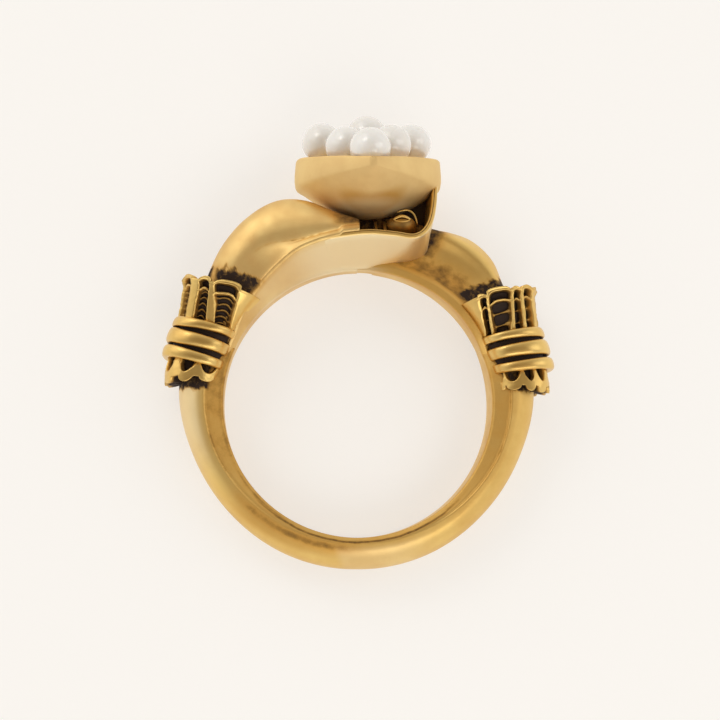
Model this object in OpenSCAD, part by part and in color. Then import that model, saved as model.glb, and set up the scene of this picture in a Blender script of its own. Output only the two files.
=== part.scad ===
// Bypass finger ring with fluted, bound shoulders and an arrowhead bezel of six pearls.
// The finger hole runs along Z about the origin, +Y points to the bezel, and the end of
// the ring that carries the curled ribbon faces +Z. Angles are counted from +X towards +Y.

/* [Finger hole] */
// Radius of the finger hole
bore_r = 8.5; // [8:0.1:9]

/* [Shoulder cuffs] */
// Depth of a flute under its ridges
flute_d = 0.42; // [0.2:0.02:0.5]
// Distance of the left cuff's middle wire from +Y, in degrees round the ring
cuff_turn_left = 69.5; // [68:0.5:71]
// The same for the right cuff, which sits a little lower
cuff_turn_right = 72; // [70:0.5:73]
// Height of the binding wires over the cuff
wire_h = 0.34; // [0.2:0.02:0.4]

/* [Curled ribbon] */
// Thickness of the ribbon that curls up to the bezel
ribbon_t = 0.36; // [0.3:0.02:0.5]

/* [Bezel] */
// Middle of the bezel across the ring
bezel_x = 0.7; // [0.5:0.1:0.9]
// Upright distance from the finger hole's axis to the bezel's rim at its widest
rim_y = 15.75; // [15.6:0.05:15.9]
// Width of the rim round the pearls
rim_w = 0.45; // [0.35:0.05:0.5]

/* [Pearls] */
// Diameter of a pearl
pearl_d = 2.6; // [2.3:0.05:2.65]
// Distance between pearls in a row
pearl_pitch = 2.9; // [2.85:0.05:3]
// Distance between rows
row_pitch = 2.2; // [2.15:0.05:2.25]
// Diameter of the peg in each pearl's drilled hole
peg_d = 0.7; // [0.5:0.05:0.8]
// Clearance round a peg and under a pearl
pearl_gap = 0.08; // [0.05:0.01:0.12]

/* [Hidden] */
gold = [0.83, 0.66, 0.33];
nacre = [0.93, 0.91, 0.88];

// Every lofted form starts this far inside the finger hole, which is cut last
hidden_r = bore_r - 0.3;
bore_length = 20;

// Shank: [degrees from -Y, outer radius, radius where the bevel ends, half width there]
shank_rows = [
    [0, 10.48, 8.75, 1.7],
    [25, 10.55, 8.9, 1.7],
    [50, 10.65, 9.15, 1.75],
    [72, 10.9, 9.45, 1.8],
    [98, 11.4, 9.65, 1.8],
    [122, 11.2, 9.6, 1.0]];
shank_steps = 12;
// Radius of a point well inside every shank section
shank_mid = 9.5;
shank_bevel_drop = 0.3;
shank_arc_steps = 4;

// Cuff: [degrees from the middle wire, outer radius, half width, share of the flute's depth,
//        degrees that the row leans for each mm outwards, degrees that it laps up over a flute]
crown_rows = [
    [-20.4, 12.6, 1.9, 0, 2.6, 1.2],
    [-22.2, 13.6, 2.8, 0, 2.6, 2],
    [-19.6, 13.7, 2.85, 0.35, 2.3, 1],
    [-17.6, 13.4, 2.7, 1, 2, 0],
    [-9, 12.8, 2.3, 1, 1, 0],
    [-5, 12.6, 2.15, 0.5, 0.5, 0]];
ruffle_rows = [
    [6, 12.3, 2.1, 1, 0.4, 0],
    [11, 12.3, 2.15, 1, 0.5, -0.4],
    [13.4, 12.2, 2.15, 0, 0.6, -1.2],
    [15, 11.2, 1.7, 0, 0.7, -1.6]];
// Binding wires: [degrees from the middle wire, half of the wire's width in degrees,
//                 lean on the left cuff, lean on the right cuff]
cuff_wires = [
    [-5.2, 1.6, 1.1, 1.3],
    [0.1, 2.3, 0.4, 0.85],
    [5.6, 1.8, 0, 0.5]];
// The relief of a cuff starts at this radius, outside the plain band round the finger
cuff_inner_r = 8.7;
cuff_wire_r = 12.5;
cuff_wire_z = 2.25;
wire_sides = 20;
// Flutes from the outermost side of a cuff to its plain side towards the finger:
// [degrees round the oval to the flute's middle, half of its width in degrees].
// The back of the cuff mirrors the front.
flutes_left = [[0, 8], [32, 18.5], [80, 10.5], [116, 18]];
flutes_right = [[18, 12.5], [56.5, 12], [82, 7.2], [107, 15]];
// Degrees that the flutes near the finger turn outwards on their way up the crown
flute_skew = 20;
flute_skew_at = 115;
flute_skew_last = 136;
crown_start = 5;
crown_span = 15;
tip_inset = 3;
cuff_power = 2.8;
lean_r = 11;

// Arms: [degrees from +X, radius and Z of the thin edge, radius and Z of the crease,
//        radius and Z of the crest, radius and Z of the back ridge, radius and Z of the valley,
//        radius and Z of the back edge]
near_arm_rows = [
    [160, 8.7, 1.2, 9.8, 1.25, 11.5, 0.6, 11.2, -0.7, 10.4, -1.0, 8.9, -1.3],
    [152, 8.75, 1.5, 10.0, 1.5, 11.7, 0.8, 11.5, -0.8, 10.5, -1.2, 9.0, -1.6],
    [141, 9.1, 1.95, 10.6, 1.95, 12.4, 0.9, 12.1, -0.8, 10.6, -1.0, 9.1, -1.6],
    [131, 9.4, 2.5, 11.3, 2.45, 13.2, 0.95, 12.5, -0.7, 10.6, -0.6, 9.2, -1.5],
    [121, 9.75, 2.75, 11.4, 2.5, 13.75, 1.1, 12.9, -0.6, 10.6, -0.4, 9.2, -1.4],
    [112, 10.1, 2.95, 10.85, 2.65, 13.85, 1.35, 12.9, -0.5, 10.6, -0.3, 9.2, -1.2],
    [105, 10.2, 3.1, 10.75, 2.85, 13.3, 1.5, 12.4, -0.4, 10.5, -0.3, 9.2, -1.0],
    [97, 10.3, 3.2, 10.85, 3.0, 12.2, 1.6, 11.9, -0.3, 10.4, -0.3, 9.2, -0.8],
    [90, 10.38, 3.2, 10.95, 3.05, 11.6, 1.6, 11.5, -0.2, 10.3, -0.3, 9.2, -0.7]];
far_arm_rows = [
    [160, 8.7, 1.2, 9.8, 1.25, 11.4, 0.5, 11.1, -0.7, 10.3, -0.95, 8.8, -1.2],
    [152, 8.75, 1.5, 10.0, 1.5, 11.6, 0.8, 11.4, -0.8, 10.4, -1.1, 8.8, -1.6],
    [140, 9.05, 1.95, 10.5, 1.95, 12.3, 0.5, 11.8, -0.75, 10.4, -0.9, 8.88, -1.85],
    [133, 9.3, 2.4, 10.9, 2.45, 12.9, 0.6, 12.1, -0.65, 10.5, -0.6, 8.9, -1.8],
    [125, 9.5, 2.6, 11.0, 2.5, 13.1, 0.9, 12.25, -0.6, 10.5, -0.45, 8.9, -1.65],
    [118, 9.7, 2.8, 10.9, 2.6, 12.8, 1.1, 12.2, -0.6, 10.5, -0.45, 8.9, -1.5],
    [111, 9.9, 2.95, 10.8, 2.7, 12.35, 1.3, 12.1, -0.6, 10.6, -0.6, 8.9, -1.3],
    [101, 10.1, 3.05, 10.8, 2.85, 12.3, 1.4, 12.15, -0.6, 10.8, -0.9, 8.9, -1.1],
    [92, 10.3, 3.1, 10.8, 2.95, 12.2, 1.4, 12.0, -0.3, 10.6, -0.6, 8.9, -0.8],
    [84, 10.4, 3.1, 10.95, 2.9, 11.7, 1.4, 11.4, 0.2, 10.3, -0.1, 8.9, -0.5]];
arm_step = 5;
arm_edge_t = 0.32;
// Radius and Z of a point well inside every arm section
arm_mid = [10.4, 0.8];
arm_crest_steps = 3;
flare_start_z = 0.45;

// Ribbon: [station, X and Y and Z of the near edge, X and Y and Z of the far edge]
ribbon_rows = [
    [0, -1.26, 10.25, 3.18, -1.04, 8.5, 0.85],
    [1, 0.55, 10.41, 3.2, 0.5, 8.53, 0.75],
    [2, 2.2, 10.3, 3.2, 2.1, 8.65, 0.6],
    [3, 3.35, 10.15, 3.2, 3.4, 9.0, 0.5],
    [4, 4.15, 10.5, 3.1, 4.35, 9.6, 0.4],
    [5, 4.7, 11.4, 2.6, 4.6, 10.5, 0.2],
    [6, 5.02, 12.8, 1.7, 4.7, 12.2, -0.2],
    [7, 5.15, 14.3, 1.0, 4.8, 14.3, -0.5]];
ribbon_fine = 2;

// Foot of the bezel on the far arm, behind the ribbon: [X, Y] corners, and its two ends in Z
foot_corners = [[1.4, 11.0], [3.9, 10.4], [4.75, 11.8], [4.95, 14.1], [3.2, 14.1], [1.4, 12.6]];
foot_ends = [0.1, -1.7];
foot_taper = 0.94;

// Domed scroll on the foot: its middle and its half sizes
scroll_at = [2.75, 11.25, 1.0];
scroll_half = [1.02, 0.72, 1.25];
scroll_sides = 12;
scroll_rings = 6;
// Stays from the ribbon to the bezel: [X, half width]
stays = [[1.15, 0.09], [1.7, 0.1]];
stay_y = [10.6, 12.2];
stay_z = [2.4, 1.2];
stay_h = 0.5;

// Bezel: [Z, half width, Y of the rim, Y of the wall's foot, Y of the keel]
bezel_rows = [
    [-2.1, 4.35, 15.62, 14.25, 13.0],
    [-1.4, 4.6, 15.7, 14.1, 12.3],
    [0, 4.68, 15.75, 14.0, 11.9],
    [1.2, 4.45, 15.68, 14.05, 11.8],
    [2.6, 3.65, 15.45, 14.1, 12.05],
    [4.2, 2.35, 15.15, 14.12, 12.65],
    [5.6, 0.95, 14.82, 14.08, 13.5],
    [6.2, 0.2, 14.68, 14.1, 14.0]];
bezel_hull_steps = 4;
hull_power = 2;
// Z of the floor's rows, from the tip's end to the back wall
floor_rows = [5.2, 4.2, 2.6, 1.2, 0, -1.6];
floor_tip = 7;
floor_drop = 0.45;
floor_rise = 0.75;

// Pearls: [X in pitches, row from the widest, lift of the centre over the rim]
seat_tip = [0, 2, -0.15];
seats_inner = [[-0.5, 1, 0.45], [0.5, 1, 0.6]];
seats_outer = [[-1, 0, 1.2], [0, 0, 1.72], [1, 0, 1.2]];
seats = concat([seat_tip], seats_inner, seats_outer);
pearl_hole = 0.9;
peg_sunk = 1;

// Rows between the given ones, on a smooth curve through them
function span_of(rows, x, i = 0) =
    (i >= len(rows) - 2 || x < rows[i + 1][0]) ? i : span_of(rows, x, i + 1);
function slope_at(rows, i) =
    let (a = max(i - 1, 0), b = min(i + 1, len(rows) - 1))
    (rows[b] - rows[a]) / (rows[b][0] - rows[a][0]);
function row_at(rows, x) =
    let (i = span_of(rows, x), a = rows[i], b = rows[i + 1], h = b[0] - a[0], t = (x - a[0]) / h)
    (2 * t * t * t - 3 * t * t + 1) * a
    + (t * t * t - 2 * t * t + t) * h * slope_at(rows, i)
    + (3 * t * t - 2 * t * t * t) * b
    + (t * t * t - t * t) * h * slope_at(rows, i + 1);

function polar(r, turn, z) = [r * cos(turn), r * sin(turn), z];
function signed_power(v, p) = sign(v) * pow(abs(v), p);

// A closed solid through rings of points, every ring with as many points. The ends are flat
// faces, or with two tips given, cones to them.
module loft(rings, tips = []) {
    n = len(rings[0]);
    last = len(rings) - 1;
    count = n * len(rings);
    side = [for (i = [0 : last - 1], j = [0 : n - 1])
        let (a = i * n + j, b = i * n + (j + 1) % n)
        each [[a, b, b + n], [a, b + n, a + n]]];
    flat_ends = [[for (j = [n - 1 : -1 : 0]) j], [for (j = [0 : n - 1]) last * n + j]];
    cones = [for (j = [0 : n - 1]) let (k = (j + 1) % n)
        each [[k, j, count], [last * n + j, last * n + k, count + 1]]];
    polyhedron(concat([for (ring = rings) each ring], tips),
               concat(side, len(tips) == 0 ? flat_ends : cones));
}

function shank_section(row) =
    let (mid = row[2], z = row[3])
    concat(
        [[hidden_r, -(z - shank_bevel_drop)]],
        [for (k = [-shank_arc_steps : shank_arc_steps])
            let (u = 90 * k / shank_arc_steps)
            [mid + (row[1] - mid) * cos(u), z * sin(u)]],
        [[hidden_r, z - shank_bevel_drop]]);

module shank() {
    reach = shank_rows[len(shank_rows) - 1][0];
    loft([for (k = [-shank_steps : shank_steps])
             let (turn = reach * k / shank_steps)
            [for (p = shank_section(row_at(shank_rows, abs(turn)))) polar(p[0], turn - 90, p[1])]],
         [for (turn = [-reach, reach]) polar(shank_mid, turn - 90, 0)]);
}

// Places round a cuff as [degrees, 1 in a flute and 0 on a ridge]
function flute_places(flute, side) =
    let (c = side * flute[0], h = flute[1])
    [[c - h, 0], [c - 0.6 * h, 1], [c + 0.6 * h, 1], [c + h, 0]];
function oval_places(flutes) =
    concat(
        [[-180, 0], [-155, 0]],
        [for (k = [len(flutes) - 1 : -1 : 0]) if (flutes[k][0] > 0) each flute_places(flutes[k], -1)],
        [for (flute = flutes) each flute_places(flute, 1)],
        [[155, 0]]);

function skewed(u, turn) =
    let (up = min(max((-turn - crown_start) / crown_span, 0), 1),
         near = pow(min(abs(u), flute_skew_last) / flute_skew_at, 2),
         fade = min((180 - abs(u)) / (180 - flute_skew_last), 1))
    u - sign(u) * flute_skew * near * up * fade;

// One ring of points round a cuff
function cuff_ring(row, middle, flutes) =
    [for (place = oval_places(flutes))
        let (u = skewed(place[0], row[0]),
             half = (row[1] - cuff_inner_r) / 2,
             cu = signed_power(cos(u), 2 / cuff_power),
             su = signed_power(sin(u), 2 / cuff_power),
             dip = place[1] * row[3] * flute_d,
             r = cuff_inner_r + half + (half - dip) * cu,
             z = (row[2] - dip) * su)
        polar(r, 90 + middle + row[0] + row[4] * (r - lean_r) - place[1] * row[5], z)];

// One plain ring of points round the bound middle of a cuff
function wire_ring(wire, across, middle, side) =
    [for (k = [0 : wire_sides - 1])
        let (u = 360 * k / wire_sides,
             half = (cuff_wire_r - cuff_inner_r) / 2,
             swell = wire_h * (1 - across * across) - 0.05,
             r = cuff_inner_r + half + (half + max(swell, 0) * (1 + cos(u)) / 2)
                 * signed_power(cos(u), 2 / cuff_power),
             z = (cuff_wire_z + swell) * signed_power(sin(u), 2 / cuff_power))
        polar(r, 90 + middle + wire[0] + across * wire[1] + wire[2 + side] * (r - lean_r), z)];

function cuff_tips(rows, middle) =
    [for (row = [rows[0], rows[len(rows) - 1]])
        polar(lean_r, 90 + middle + row[0] - sign(row[0]) * tip_inset, 0)];

// side is 0 for the left cuff and 1 for the right one
module cuff(middle, side) {
    flutes = side == 0 ? flutes_left : flutes_right;
    loft([for (row = crown_rows) cuff_ring(row, middle, flutes)], cuff_tips(crown_rows, middle));
    loft([for (wire = cuff_wires, across = [-1, -0.6, 0.6, 1])
        wire_ring(wire, across, middle, side)]);
    loft([for (row = ruffle_rows) cuff_ring(row, middle, flutes)], cuff_tips(ruffle_rows, middle));
}

function arm_section(row) =
    let (edge = [row[1], row[2]], crease = [row[3], row[4]], crest = [row[5], row[6]],
         ridge = [row[7], row[8]], valley = [row[9], row[10]], back = [row[11], row[12]])
    concat(
        [[hidden_r, back[1] + 0.15], [hidden_r, flare_start_z], edge,
         edge + [arm_edge_t, 0.02], crease],
        [for (k = [1 : arm_crest_steps])
            let (u = 90 * k / arm_crest_steps)
            [crease[0] + (crest[0] - crease[0]) * sin(u),
             crest[1] + (crease[1] - crest[1]) * cos(u)]],
        [[(crest[0] * 2 + ridge[0]) / 3 + 0.05, (crest[1] + ridge[1]) / 2], ridge,
         (ridge + valley) / 2 + [0, 0.12], valley, (valley + back) / 2 + [0, 0.12], back]);

module arm(rows) {
    first = rows[0][0];
    last = rows[len(rows) - 1][0];
    steps = ceil((first - last) / arm_step);
    down = [for (i = [len(rows) - 1 : -1 : 0]) rows[i]];
    loft([for (k = [0 : steps])
             let (turn = first + (last - first) * k / steps)
             [for (p = arm_section(row_at(down, turn))) polar(p[0], turn, p[1])]],
         [polar(arm_mid[0], first, arm_mid[1]), polar(arm_mid[0], last, arm_mid[1])]);
}

// The ribbon's thickness is set off to the left of its path, away from the finger
function path_normal(a, b) = let (d = [b[0] - a[0], b[1] - a[1]]) [-d[1], d[0], 0] / norm(d);

module ribbon() {
    n = (len(ribbon_rows) - 1) * ribbon_fine;
    rows = [for (k = [0 : n]) row_at(ribbon_rows, k / ribbon_fine)];
    near = [for (row = rows) [row[1], row[2], row[3]]];
    far = [for (row = rows) [row[4], row[5], row[6]]];
    loft([for (k = [0 : n])
        let (a = max(k - 1, 0), b = min(k + 1, n),
             off_near = path_normal(near[a], near[b]) * ribbon_t,
             off_far = path_normal(far[a], far[b]) * ribbon_t)
        [far[k], near[k], near[k] + off_near, far[k] + off_far]]);
}

module bezel_foot() {
    middle = [for (axis = [0, 1]) let (c = [for (p = foot_corners) p[axis]]) (min(c) + max(c)) / 2];
    loft([for (z = foot_ends)
        [for (p = foot_corners)
            let (q = z == foot_ends[0] ? middle + (p - middle) * foot_taper : p)
            [q[0], q[1], z]]]);
}

module scroll() {
    loft([for (k = [1 : scroll_rings - 1])
             let (a = 180 * k / scroll_rings)
             [for (j = [0 : scroll_sides - 1])
                 let (b = 360 * j / scroll_sides)
                 scroll_at + [scroll_half[0] * sin(a) * cos(b), scroll_half[1] * sin(a) * sin(b),
                              scroll_half[2] * cos(a)]]],
         [for (end = [1, -1]) scroll_at + [0, 0, end * scroll_half[2]]]);
}

module stay(place) {
    x = place[0];
    w = place[1];
    loft([for (drop = [0, stay_h])
        [[x - w, stay_y[0], stay_z[0] - drop], [x + w, stay_y[0], stay_z[0] - drop],
         [x + w, stay_y[1], stay_z[1] - drop], [x - w, stay_y[1], stay_z[1] - drop]]]);
}

function hull_section(row) =
    let (w = row[1], rim = row[2], foot = row[3], keel = row[4])
    concat(
        [[-w, rim]],
        [for (k = [-bezel_hull_steps : bezel_hull_steps])
            let (u = k / bezel_hull_steps)
            [w * u, foot - (foot - keel) * (1 - pow(abs(u), hull_power))]],
        [[w, rim]]);

// The domed floor that the pearls sit on, as rows of points from its edge over the middle
function floor_section(row) =
    let (w = row[1] - rim_w, rim = row[2], rise = row[0] < 0 ? 1 : 1 - pow(row[0] / floor_tip, 2))
    concat(
        [[w, rim - 1]],
        [for (k = [bezel_hull_steps : -1 : -bezel_hull_steps])
            let (u = k / bezel_hull_steps)
            [w * u, rim - floor_drop + floor_rise * rise * (1 - u * u)]],
        [[-w, rim - 1]]);

// The recess that leaves the rim standing round the floor
function recess_section(row) =
    let (w = max(row[1] - rim_w, 0.05), rim = row[2])
    [[-w, rim + 1], [-w, rim - floor_drop], [w, rim - floor_drop], [w, rim + 1]];

function seat_place(seat) =
    [bezel_x - 0.1 + seat[0] * pearl_pitch, rim_y + seat[2], seat[1] * row_pitch];

module bezel() {
    outer = [for (i = [len(bezel_rows) - 1 : -1 : 0]) bezel_rows[i]];
    inner = [for (z = floor_rows) row_at(bezel_rows, z)];
    difference() {
        translate([bezel_x, 0, 0])
            union() {
                difference() {
                    loft([for (row = outer) [for (p = hull_section(row)) [p[0], p[1], row[0]]]]);
                    loft([for (row = inner) [for (p = recess_section(row)) [p[0], p[1], row[0]]]]);
                }
                loft([for (row = inner) [for (p = floor_section(row)) [p[0], p[1], row[0]]]]);
            }
        // each pearl's seat
        for (seat = seats)
            translate(seat_place(seat))
                sphere(d = pearl_d + 2 * pearl_gap, $fn = 64);
    }
}

module peg(seat) {
    at = seat_place(seat);
    foot = at[1] - pearl_d / 2 - peg_sunk;
    top = at[1] - pearl_d / 2 + pearl_hole - pearl_gap;
    translate([at[0], foot, at[2]])
        rotate([-90, 0, 0])
            cylinder(d = peg_d, h = top - foot, $fn = 24);
}

module pearl(seat) {
    at = seat_place(seat);
    translate(at)
        difference() {
            sphere(d = pearl_d, $fn = 64);
            translate([0, -pearl_d / 2 - 0.1, 0])
                rotate([-90, 0, 0])
                    cylinder(d = peg_d + 2 * pearl_gap, h = pearl_hole + 0.1, $fn = 24);
        }
}

module ring_body() {
    color(gold)
        difference() {
            union() {
                shank();
                cuff(cuff_turn_left, 0);
                mirror([1, 0, 0])
                    cuff(cuff_turn_right, 1);
                arm(near_arm_rows);
                rotate([0, 180, 0])
                    arm(far_arm_rows);
                ribbon();
                bezel_foot();
                scroll();
                for (place = stays)
                    stay(place);
                bezel();
                for (seat = seats)
                    peg(seat);
            }
            cylinder(r = bore_r, h = bore_length, center = true, $fn = 96);
        }
}

module pearl_tip() {
    color(nacre)
        pearl(seat_tip);
}

module pearl_left_inner() {
    color(nacre)
        pearl(seats_inner[0]);
}

module pearl_right_inner() {
    color(nacre)
        pearl(seats_inner[1]);
}

module pearl_left_outer() {
    color(nacre)
        pearl(seats_outer[0]);
}

module pearl_middle() {
    color(nacre)
        pearl(seats_outer[1]);
}

module pearl_right_outer() {
    color(nacre)
        pearl(seats_outer[2]);
}

ring_body();
pearl_tip();
pearl_left_inner();
pearl_right_inner();
pearl_left_outer();
pearl_middle();
pearl_right_outer();
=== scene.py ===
"""Bypass finger ring with fluted, bound shoulders and an arrowhead bezel of six pearls."""
import math

import bmesh
import bpy
from bpy.props import FloatProperty, FloatVectorProperty, PointerProperty
from mathutils import Matrix, Vector, noise


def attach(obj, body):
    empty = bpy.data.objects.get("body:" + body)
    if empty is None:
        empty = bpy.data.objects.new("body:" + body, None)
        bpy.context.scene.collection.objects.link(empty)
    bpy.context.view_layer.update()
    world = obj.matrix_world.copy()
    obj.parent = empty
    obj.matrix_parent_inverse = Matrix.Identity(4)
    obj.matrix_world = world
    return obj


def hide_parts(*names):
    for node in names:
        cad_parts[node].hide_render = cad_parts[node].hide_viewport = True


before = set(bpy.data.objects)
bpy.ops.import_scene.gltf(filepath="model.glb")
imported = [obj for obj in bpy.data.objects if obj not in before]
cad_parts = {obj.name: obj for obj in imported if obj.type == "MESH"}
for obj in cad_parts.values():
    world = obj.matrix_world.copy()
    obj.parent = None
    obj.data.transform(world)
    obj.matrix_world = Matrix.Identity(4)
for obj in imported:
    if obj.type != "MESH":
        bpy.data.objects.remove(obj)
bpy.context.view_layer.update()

bl_info = {
    "name": "Arrowhead bypass ring",
    "version": (1, 0, 0),
    "blender": (4, 5, 0),
    "location": "3D View > Sidebar > Ring",
    "description": "Builds a gold bypass ring with bound shoulders and a bezel of pearls",
    "category": "Object",
}

MM = 0.001

# Shank: degrees from -Y, outer radius, radius where the bevel ends and half width there, in mm
SHANK_ROWS = [
    (0, 10.48, 8.75, 1.7),
    (25, 10.55, 8.9, 1.7),
    (50, 10.65, 9.15, 1.75),
    (72, 10.9, 9.45, 1.8),
    (98, 11.4, 9.65, 1.8),
    (122, 11.2, 9.6, 1.0),
]
# The turn at which each end of the shank stops inside its cuff
SHANK_REACH = 113.5
SHANK_STEPS = 160
# Most that the bevel falls towards the finger hole, and depth of the groove beside it, in mm
BEVEL_FALL, GROOVE_DEPTH = 0.3, 0.04

# Cuff: degrees from the middle wire, outer radius and half width in mm, then the degrees of
# lean for each mm outwards
CUFF_ROWS = [
    (-24.5, 13.75, 2.9, 2.6),
    (-22.2, 13.6, 2.82, 2.6),
    (-19.6, 13.55, 2.8, 2.3),
    (-17.6, 13.35, 2.7, 2.0),
    (-9, 12.8, 2.3, 1.0),
    (-5, 12.6, 2.15, 0.8),
    (0, 12.48, 2.15, 0.8),
    (6, 12.35, 2.12, 0.4),
    (11, 12.35, 2.18, 0.5),
    (13.4, 12.3, 2.2, 0.6),
    (16.5, 12.15, 2.15, 0.7),
]
# Binding wires: degrees from the middle wire, half of the wire's width in degrees, then the
# lean on the left cuff and on the right cuff
WIRES = [
    (-5.2, 1.6, 1.1, 1.3),
    (0.1, 2.3, 0.4, 0.85),
    (5.6, 1.8, 0, 0.5),
]
# Oval round which a cuff and its wires run: inner radius of both, outer radius and half width
# of the wires, and the radius at which the lean is nothing, in mm; then how square the oval is,
# and the radius in mm of the ring that a wire is shaped from
CUFF_INNER = 8.7
WIRE_R = 12.5
WIRE_Z = 2.25
LEAN_R = 11
OVAL_POWER = 2.8
WIRE_RING = 4
# Bound part between the crown and the ruffle, in degrees from the middle wire
BOUND_FROM, BOUND_TO = -5, 6
# Reach of the crown up from the middle wire and of the ruffle down from it, in mm, without lobes
CROWN_TOP = 4.3
RUFFLE_TOP = 2.62
# Rows of points in each part of a cuff, then points across a flute, between two flutes and
# across the plain side
HEM_STEPS, CROWN_STEPS, BOUND_STEPS, RUFFLE_STEPS = 5, 84, 16, 42
FLUTE_STEPS, GAP_STEPS, PLAIN_STEPS = 26, 5, 22
# Flutes from the outermost side of a cuff to its plain side: degrees round the oval to the
# middle of each, and half its width; the back of the cuff mirrors the front
FLUTES_LEFT = [(0, 8), (32, 18.5), (80, 10.5), (116, 18)]
FLUTES_RIGHT = [(18, 12.5), (56.5, 12), (82, 7.2), (107, 15), (134, 8)]
# Degrees that the flutes near the finger turn outwards on their way up the crown, the place
# round the oval that turns by just that, and the place from which the turn fades again
FLUTE_SKEW = 20
FLUTE_SKEW_AT = 115
FLUTE_SKEW_LAST = 143
# Degrees up from the middle wire at which these flutes start to turn, and over which they do
SKEW_START, SKEW_SPAN = 5, 15
# Length of one degree of turn at a cuff, in mm
DEG_MM = 0.21

# Arms: degrees from +X, then radius and Z of the thin edge, the crease, the crest, the back
# ridge, the valley and the back edge, in mm
NEAR_ARM_ROWS = [
    (160, 8.7, 1.2, 9.8, 1.25, 11.5, 0.6, 11.2, -0.7, 10.4, -1.0, 8.9, -1.3),
    (152, 8.75, 1.5, 10.0, 1.5, 11.7, 0.8, 11.5, -0.8, 10.5, -1.2, 9.0, -1.6),
    (141, 9.1, 1.95, 10.6, 1.95, 12.4, 0.9, 12.1, -0.8, 10.6, -1.0, 9.1, -1.6),
    (131, 9.4, 2.5, 11.3, 2.45, 13.2, 0.95, 12.5, -0.7, 10.6, -0.6, 9.2, -1.5),
    (121, 9.75, 2.75, 11.4, 2.5, 13.75, 1.1, 12.9, -0.6, 10.6, -0.4, 9.2, -1.4),
    (112, 10.1, 2.95, 10.85, 2.65, 13.85, 1.35, 12.9, -0.5, 10.6, -0.3, 9.2, -1.2),
    (105, 10.2, 3.1, 10.75, 2.85, 13.3, 1.5, 12.4, -0.4, 10.5, -0.3, 9.2, -1.0),
    (97, 10.3, 3.2, 10.85, 3.0, 12.2, 1.6, 11.9, -0.3, 10.4, -0.3, 9.2, -0.8),
    (90, 10.38, 3.2, 10.95, 3.05, 11.6, 1.6, 11.5, -0.2, 10.3, -0.3, 9.2, -0.7),
]
FAR_ARM_ROWS = [
    (160, 8.7, 1.2, 9.8, 1.25, 11.4, 0.5, 11.1, -0.7, 10.3, -0.95, 8.8, -1.2),
    (152, 8.75, 1.5, 10.0, 1.5, 11.6, 0.8, 11.4, -0.8, 10.4, -1.1, 8.8, -1.6),
    (140, 9.05, 1.95, 10.5, 1.95, 12.3, 0.5, 11.8, -0.75, 10.4, -0.9, 8.88, -1.85),
    (133, 9.3, 2.4, 10.9, 2.45, 12.9, 0.6, 12.1, -0.65, 10.5, -0.6, 8.9, -1.8),
    (125, 9.5, 2.6, 11.0, 2.5, 13.1, 0.9, 12.25, -0.6, 10.5, -0.45, 8.9, -1.65),
    (118, 9.7, 2.8, 10.9, 2.6, 12.8, 1.1, 12.2, -0.6, 10.5, -0.45, 8.9, -1.5),
    (111, 9.9, 2.95, 10.8, 2.7, 12.35, 1.3, 12.1, -0.6, 10.6, -0.6, 8.9, -1.3),
    (101, 10.1, 3.05, 10.8, 2.85, 12.3, 1.4, 12.15, -0.6, 10.8, -0.9, 8.9, -1.1),
    (92, 10.3, 3.1, 10.8, 2.95, 12.2, 1.4, 12.0, -0.3, 10.6, -0.6, 8.9, -0.8),
    (84, 10.4, 3.1, 10.95, 2.9, 11.7, 1.4, 11.4, 0.2, 10.3, -0.1, 8.9, -0.5),
]
ARM_STEPS = 140
# Flare of an arm's finger side: height of its start, which lies this far inside the wall of the
# finger hole; then the thickness of the arm's thin edge, in mm
FLARE_START = 0.45
FLARE_UNDER = 0.3
EDGE_T = 0.32
# How far the far arm's finger side lies behind the near arm's where they pass, in mm
FAR_ARM_SUNK = 0.03

# Ribbon: station, then X, Y and Z of its near edge and of its far edge, in mm
RIBBON_ROWS = [
    (-1, -2.43, 9.98, 3.1, -2.0, 8.31, 0.85),
    (0, -1.26, 10.2, 3.2, -1.04, 8.46, 0.85),
    (1, 0.55, 10.41, 3.2, 0.5, 8.53, 0.75),
    (2, 2.2, 10.3, 3.2, 2.1, 8.65, 0.6),
    (3, 3.35, 10.15, 3.2, 3.4, 9.0, 0.5),
    (4, 4.15, 10.5, 3.1, 4.35, 9.6, 0.4),
    (5, 4.7, 11.4, 2.6, 4.6, 10.5, 0.2),
    (6, 5.02, 12.8, 1.7, 4.7, 12.2, -0.2),
    (7, 5.15, 14.3, 1.0, 4.8, 14.3, -0.5),
]
RIBBON_STEPS = 84
# Points on each side of the ribbon's section
RIBBON_SIDE = 8

# Foot of the bezel on the far arm: X and Y of its corners in mm, then Z and share of the full
# size at each of its sections
FOOT_CORNERS = [(1.4, 11.0), (3.9, 10.4), (4.75, 11.8), (4.95, 14.1), (3.2, 14.1), (1.4, 12.6)]
FOOT_ROWS = [(0.1, 0.9), (0, 0.97), (-0.8, 1), (-1.7, 1)]

# Bezel: Z, half width, Y of the rim, Y of the wall's foot and Y of the keel, in mm
BEZEL_ROWS = [
    (-2.1, 4.35, 15.62, 14.25, 13.0),
    (-1.4, 4.6, 15.7, 14.1, 12.3),
    (0, 4.68, 15.75, 14.0, 11.9),
    (1.2, 4.45, 15.68, 14.05, 11.8),
    (2.6, 3.65, 15.45, 14.1, 12.05),
    (4.2, 2.35, 15.15, 14.12, 12.65),
    (5.6, 0.95, 14.82, 14.08, 13.5),
    (6.2, 0.2, 14.68, 14.1, 14.0),
]
# Recess for the pearls: Z of its two ends, Z at which its floor would have no dome left, depth
# of the floor under the rim at the walls, and rise of the dome, in mm
RECESS_BACK = -1.6
RECESS_TIP = 5.2
FLOOR_TIP = 7
FLOOR_DROP = 0.45
FLOOR_RISE = 0.75
# How full the hull is between its keel and its walls
HULL_POWER = 2

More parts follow.
